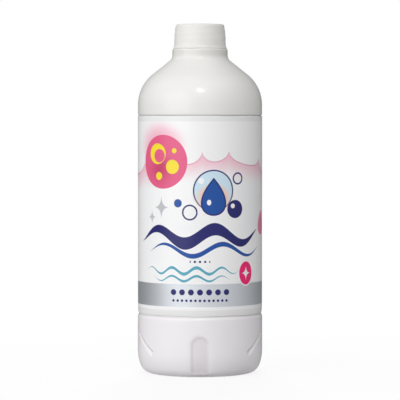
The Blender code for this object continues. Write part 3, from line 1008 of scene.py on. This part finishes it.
def row_distance(tree, x, y, given):
    """Discs in a row, one every pitch, as far as the reach on both sides."""
    half = times(tree, given["Pitch"], 0.5)
    from_disc = pingpong(tree, plus(tree, x, half), half)
    from_disc = minus(tree, half, from_disc)
    inside = minus(tree, given["Radius"], hypotenuse(tree, from_disc, y))
    within = minus(tree, given["Reach"], absolute(tree, x))
    return smaller(tree, inside, within)


def arch_distance(tree, x, y, given):
    """An upright arch: half width less the distance from the line below the round top's middle."""
    return minus(tree, given["Half"], hypotenuse(tree, x, larger(tree, y, 0.0)))


def make_motifs():
    """Every motif's group by name, each with its own sizes."""
    motifs = {
        "disc": (disc_distance, "Radius", "Stretch"),
        "ring": (ring_distance, "Radius", "Width"),
        "sparkle": (sparkle_distance, "Size", "Stretch"),
        "drop": (drop_distance, "Radius", "Height"),
        "wave": (wave_distance, "Length", "Rise", "Width", "Reach"),
        "foam": (foam_distance, "Lobe", "Drop"),
        "band": (band_distance, "Height"),
        "row": (row_distance, "Pitch", "Radius", "Reach"),
        "arch": (arch_distance, "Half"),
    }
    return {name: mask_group("motif_" + name, sizes, formula) for name, (formula, *sizes) in motifs.items()}


# The silver band, the print's ends, the softness of an edge and the shapes of drops and foam, in mm
BAND_MIDDLE = 41.75
BAND_HEIGHT = 11.5
SILVER_METAL = 0.95
SILVER_ROUGHER = 0.2
FOOT_EDGE = 34.25
HEAD_EDGE = 129.4
EDGE_SOFTNESS = 0.15
DROP_PLUMPNESS = 1.3
FOAM_WARP = 3.4
FOAM_WARP_LENGTH = 9.3
FOAM_SWELL = 3.2
FOAM_SWELL_LENGTH = 16
FAR = 500.0

# Each motif: kind, colour, (x, y) of its middle in mm, and its own sizes in mm. A size left out is 1.
PRINT = [
    ("foam", PINK, (0, 104.5), {"Lobe": 17, "Drop": 1.5, "Soft": 7.5}),
    ("foam", PINK_LINE, (0, 111.6), {"Lobe": 17, "Drop": 6}),
    ("foam", WHITE, (0, 112), {"Lobe": 17, "Drop": 6}),
    ("disc", PINK, (-22, 117), {"Radius": 10.0, "Stretch": 1.2, "Soft": 5.0}),
    ("disc", ROSE, (-20, 109), {"Radius": 13.6}),
    ("disc", DEEP_ROSE, (-21, 105.5), {"Radius": 5.0, "Stretch": 1.1, "Soft": 4.6}),
    ("disc", YELLOW, (-23.5, 113), {"Radius": 5.2}),
    ("disc", ROSE, (-22.3, 112), {"Radius": 3.4}),
    ("disc", YELLOW, (-14.5, 106.5), {"Radius": 3.6}),
    ("disc", YELLOW, (-22.5, 101.8), {"Radius": 2.0}),
    ("disc", YELLOW, (-13.4, 114.6), {"Radius": 1.3}),
    ("disc", NAVY, (7, 94.5), {"Radius": 10.6}),
    ("disc", PALE_BLUE, (7, 94.5), {"Radius": 9.9}),
    ("disc", PEACH, (7, 91), {"Radius": 6.0, "Stretch": 1.3, "Soft": 2.5}),
    ("drop", NAVY, (7, 91.5), {"Radius": 6.6, "Height": 9.6}),
    ("drop", BLUE, (7, 91.3), {"Radius": 5.9, "Height": 8.7}),
    ("disc", WHITE, (4.6, 88.6), {"Radius": 1.4, "Stretch": 0.8}),
    ("disc", WHITE, (0.6, 99.5), {"Radius": 1.5}),
    ("disc", NAVY, (18.8, 85.2), {"Radius": 4.6}),
    ("disc", WHITE, (17.4, 86.8), {"Radius": 1.2}),
    ("ring", NAVY, (20.4, 100.6), {"Radius": 2.7, "Width": 0.8}),
    ("ring", NAVY, (-5.2, 83.6), {"Radius": 3.6, "Width": 0.8}),
    ("disc", BLUE, (-11.4, 88.2), {"Radius": 2.1}),
    ("sparkle", GREY, (-21, 86), {"Size": 4.8, "Stretch": 1.35}),
    ("sparkle", GREY, (-27.5, 81), {"Size": 3.0, "Stretch": 1.35}),
    ("wave", NAVY, (0, 71.6), {"Length": 31, "Rise": 3.6, "Width": 6.6, "Reach": 36}),
    ("wave", BLUE, (4, 64.6), {"Length": 31, "Rise": 3.0, "Width": 2.6, "Reach": 33}),
    ("row", NAVY, (0, 58.8), {"Pitch": 2.6, "Radius": 0.6, "Reach": 5.2, "Soft": 0.1}),
    ("wave", TEAL, (-5, 54.2), {"Length": 13, "Rise": 1.6, "Width": 1.7, "Reach": 26}),
    ("wave", TEAL, (-5, 50.3), {"Length": 13, "Rise": 1.3, "Width": 1.3, "Reach": 21}),
    ("drop", SOFT_ROSE, (42, 78), {"Radius": 4.6, "Height": 6.5}),
    ("band", SILVER, (0, BAND_MIDDLE), {"Height": BAND_HEIGHT}),
    ("disc", WHITE, (26, 52.6), {"Radius": 6.5, "Stretch": 0.8}),
    ("disc", MAGENTA, (26, 52.6), {"Radius": 5.9, "Stretch": 0.78}),
    ("sparkle", WHITE, (26, 52.6), {"Size": 3.4, "Stretch": 1.2}),
    ("row", NAVY, (0, 43.4), {"Pitch": 4.6, "Radius": 1.5, "Reach": 16.2}),
    ("row", NAVY, (0, 39.2), {"Pitch": 2.3, "Radius": 0.65, "Reach": 15.0, "Soft": 0.1}),
]


def motif_mask(tree, place, kind, middle, **sizes):
    """A motif's mask, 1 inside and 0 outside, with its middle at (x, y) in mm."""
    spot = {"Across": place["Across"], "Up": place["Up"], "X": float(middle[0]), "Y": float(middle[1])}
    return use_group(tree, MOTIFS[kind], **spot, **sizes)["Mask"]


def bare_silver(tree, place):
    """1 on the silver band where no ink lies on it, and 0 elsewhere."""
    bare = motif_mask(tree, place, "band", (0, BAND_MIDDLE), Height=BAND_HEIGHT)
    silver = [motif[1] for motif in PRINT].index(SILVER)
    for kind, _, middle, sizes in PRINT[silver + 1 :]:
        mask = motif_mask(tree, place, kind, middle, **sizes)
        bare = times(tree, bare, minus(tree, 1.0, mask))
    return bare


def printed_film():
    """White printed film with coloured motifs. Its unprinted ends are clear, over the bottle."""
    material, tree, shader = new_material("printed_film")
    place = use_group(tree, PLACE)
    skin = use_group(tree, SKIN, Colour=WHITE, Shade=FILM_SHADE, Gloss=0.3, Peel=0.04)
    colour = skin["Colour"]
    for kind, ink, middle, sizes in PRINT:
        colour = mixed(tree, motif_mask(tree, place, kind, middle, **sizes), colour, ink)
    print_middle = (0, (HEAD_EDGE + FOOT_EDGE) / 2)
    printed = motif_mask(tree, place, "band", print_middle, Height=HEAD_EDGE - FOOT_EDGE)
    put(shader.inputs["Base Color"], mixed(tree, printed, CLEAR, colour))
    silver = bare_silver(tree, place)
    put(shader.inputs["Metallic"], times(tree, silver, SILVER_METAL))
    put(shader.inputs["Roughness"], times_plus(tree, silver, SILVER_ROUGHER, skin["Roughness"]))
    put(shader.inputs["Normal"], skin["Normal"])
    return material


# Studio

# The room's strength on matt surfaces, from all round, from the front and from the left, and in gloss
ROOM_EVEN = 0.085
ROOM_FRONT = 0.385
ROOM_LEFT = 0.43
GLOSS_FRONT = 0.95
GLOSS_BACK = 0.05

# The floor: its radius in mm, its colours, the share of shadow left and the metres where that fades
FLOOR_RADIUS = 3000.0
FLOOR_WHITE = (0.9, 0.9, 0.9, 1)
FLOOR_BOUNCE = (0.5, 0.5, 0.5, 1)
FLOOR_SHADOW = 0.15
SHADOW_FADE = (0.35, 0.03)

BODY_MIDDLE = (0, 0, 90)

# Each lamp: the place and the aim in mm, the size in mm and the power in watts
LAMPS = {
    "key": ((-930, -1010, 180), BODY_MIDDLE, (1400, 1500), 10.3),
    "top": ((250, -150, 950), BODY_MIDDLE, (900, 900), 0.9),
    "spark": ((40, -1110, 1150), (0, -30, 145), (360, 360), 3.4),
    "back": ((0, 1200, 700), BODY_MIDDLE, (700, 700), 11.0),
}


def studio_material(name, lit_share):
    """White to the camera, and in gloss as bright as the room behind it. A share of real shading is left
    near the middle for the shadow, and the light that it throws back is that of a grey table."""
    material, tree, shader = new_material(name)
    tree.nodes.remove(shader)
    path = new_node(tree, "LightPath")
    bounce = mixed(tree, path["Is Diffuse Ray"], FLOOR_WHITE, FLOOR_BOUNCE)
    place = object_place(tree)
    from_middle = new_node(tree, "VectorMath", place, operation="LENGTH")["Value"]
    lit_share = times(tree, faded(tree, from_middle, *SHADOW_FADE), lit_share)
    direction = new_node(tree, "VectorMath", place, operation="NORMALIZE")["Vector"]
    gloss = minus(tree, room_gloss(tree, direction), 1.0)
    strength = times_plus(tree, gloss, path["Is Glossy Ray"], 1.0)
    seen = larger(tree, path["Is Camera Ray"], path["Is Glossy Ray"])
    seen = larger(tree, seen, path["Is Transmission Ray"])
    own_light = times(tree, seen, minus(tree, 1.0, lit_share))
    diffuse = new_node(tree, "BsdfDiffuse", bounce)[0]
    glow = new_node(tree, "Emission", (1, 1, 1, 1), strength)[0]
    blend = new_node(tree, "MixShader", own_light, diffuse, glow)[0]
    put(tree.nodes["Material Output"].inputs["Surface"], blend)
    return material


def make_floor():
    """A round floor on z = 0."""
    a = even_angles(FLOOR_COLUMNS)
    points = np.stack([FLOOR_RADIUS * np.cos(a), FLOOR_RADIUS * np.sin(a), np.zeros_like(a)], 1)
    mesh = bpy.data.meshes.new("floor")
    mesh.from_pydata((points * MM).tolist(), [], [tuple(range(len(a)))])
    floor = new_object("floor", mesh)
    mesh.materials.append(studio_material("studio_floor", FLOOR_SHADOW))


def forward_share(tree, direction):
    """1 for a direction to the front, 0 to the back, 0.5 to the sides, up or down."""
    return times_plus(tree, new_node(tree, "SeparateXYZ", direction)["Y"], -0.5, 0.5)


def room_gloss(tree, direction):
    """What a glossy surface sees of the room in a direction."""
    return times_plus(tree, forward_share(tree, direction), GLOSS_FRONT - GLOSS_BACK, GLOSS_BACK)


def make_world():
    """A room that is bright in front and dim behind the object, and white where the camera looks at it.

    With f = (1 - y) / 2, where y is how far the direction points to the back, its strength in gloss is
    GLOSS_BACK + (GLOSS_FRONT - GLOSS_BACK) f. On matt surfaces it is ROOM_EVEN + ROOM_FRONT f + ROOM_LEFT g,
    with g = (1 - x) / 2, where x is how far the direction points to the right.
    """
    world = bpy.data.worlds.new("studio")
    world.use_nodes = True
    bpy.context.scene.world = world
    tree = world.node_tree
    background = tree.nodes["Background"]
    put(background.inputs["Color"], (1, 1, 1, 1))
    direction = new_node(tree, "TexCoord")["Generated"]
    to_right = new_node(tree, "SeparateXYZ", direction)["X"]
    matt = times_plus(tree, to_right, -ROOM_LEFT / 2, ROOM_EVEN + ROOM_LEFT / 2)
    matt = times_plus(tree, forward_share(tree, direction), ROOM_FRONT, matt)
    gloss = room_gloss(tree, direction)
    path = new_node(tree, "LightPath")
    room = times_plus(tree, minus(tree, gloss, matt), path["Is Glossy Ray"], matt)
    seen = larger(tree, path["Is Camera Ray"], path["Is Transmission Ray"])
    put(background.inputs["Strength"], mixed(tree, seen, room, 1.0))


def aimed(obj, place, aim):
    """An object put at a place in mm and turned towards another."""
    obj.location = place * MM
    obj.rotation_euler = (aim - place).to_track_quat("-Z", "Y").to_euler()
    return obj


def make_lamp(name, place, aim, size, power):
    """A soft box at a place in mm, turned towards the point that it aims at."""
    light = bpy.data.lights.new(name, "AREA")
    light.shape = "RECTANGLE"
    light.size, light.size_y = size[0] * MM, size[1] * MM
    light.energy = power
    return aimed(new_object(name, light), Vector(place), Vector(aim))


def make_lamps():
    """The four soft boxes. The small one above is round, and gloss doesn't show the one behind."""
    lamps = {name: make_lamp(name, *values) for name, values in LAMPS.items()}
    lamps["spark"].data.shape = "ELLIPSE"
    lamps["back"].visible_glossy = False


def make_camera():
    """A camera at the eye's place, aimed at the point of the axis in the middle of the photograph."""
    camera = bpy.data.cameras.new("camera")
    camera.sensor_width = SENSOR_WIDTH
    eye, aim = Vector((0, -CAMERA_DISTANCE, EYE_HEIGHT)), Vector((0, 0, AIM_HEIGHT))
    frame_width = IMAGE_SIZE / PIXELS_PER_MM
    camera.lens = camera.sensor_width * (aim - eye).length / frame_width
    camera.clip_end = CLIP_END
    bpy.context.scene.camera = aimed(new_object("camera", camera), eye, aim)


SKIN = moulded_skin()
PLACE = rolled_out_place()
MOTIFS = make_motifs()
make_camera()
make_world()
make_floor()
make_lamps()
make_bottle()
make_cap()
make_sleeve()
for node, material in (("cap_liner", foam_wad()), ("soap_liquid", soap())):
    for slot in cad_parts[node].material_slots:
        slot.material = material

bpy.context.scene.view_settings.view_transform = "Standard"
